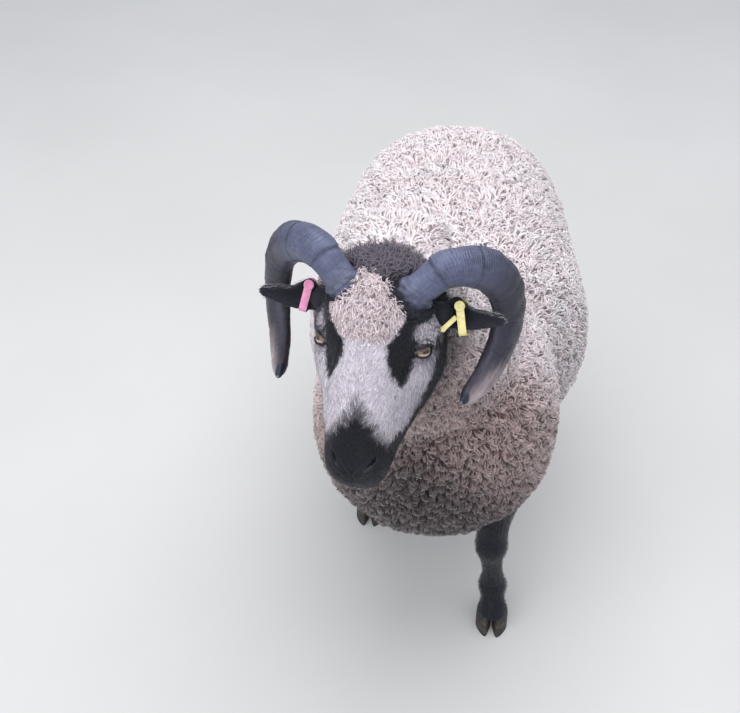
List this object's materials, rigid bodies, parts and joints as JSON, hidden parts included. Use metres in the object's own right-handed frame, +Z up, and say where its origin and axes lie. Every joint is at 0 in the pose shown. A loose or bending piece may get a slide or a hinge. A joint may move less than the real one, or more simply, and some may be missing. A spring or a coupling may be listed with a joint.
{
  "type": "shetland ram",
  "caption": "Life-size standing horned sheep with a curly fleece, a dark-marked face, curled horns and ear tags.",
  "frame": {"origin": "on the floor, under the middle of the bounding box", "axes": "+Z up; the ram faces -Y and its left side is +X"},
  "size_m": [0.468, 1.0808, 0.9364],
  "materials": {
    "wool": "curly fleece",
    "face_hair": "short hair",
    "leg_hair": "short hair",
    "ear_skin": "short black hair",
    "horn": "satin",
    "eye": "wet",
    "hoof": "satin",
    "tag_right": "satin",
    "tag_left": "satin"
  },
  "bodies": {
    "root": {"torso": "wool", "neck": "wool", "tail": "wool", "head": "face_hair", "ear_left": "ear_skin", "ear_right": "ear_skin", "horn_left": "horn", "horn_right": "horn", "eye_left": "eye", "eye_right": "eye", "tag_left": "tag_left", "tag_left_small": "tag_left", "tag_right": "tag_right", "leg_fore_left": "leg_hair", "leg_fore_right": "leg_hair", "leg_hind_left": "leg_hair", "leg_hind_right": "leg_hair", "hoof_fore_left_inner": "hoof", "hoof_fore_left_outer": "hoof", "hoof_fore_right_inner": "hoof", "hoof_fore_right_outer": "hoof", "hoof_hind_left_inner": "hoof", "hoof_hind_left_outer": "hoof", "hoof_hind_right_inner": "hoof", "hoof_hind_right_outer": "hoof"}
  },
  "joints": []
}
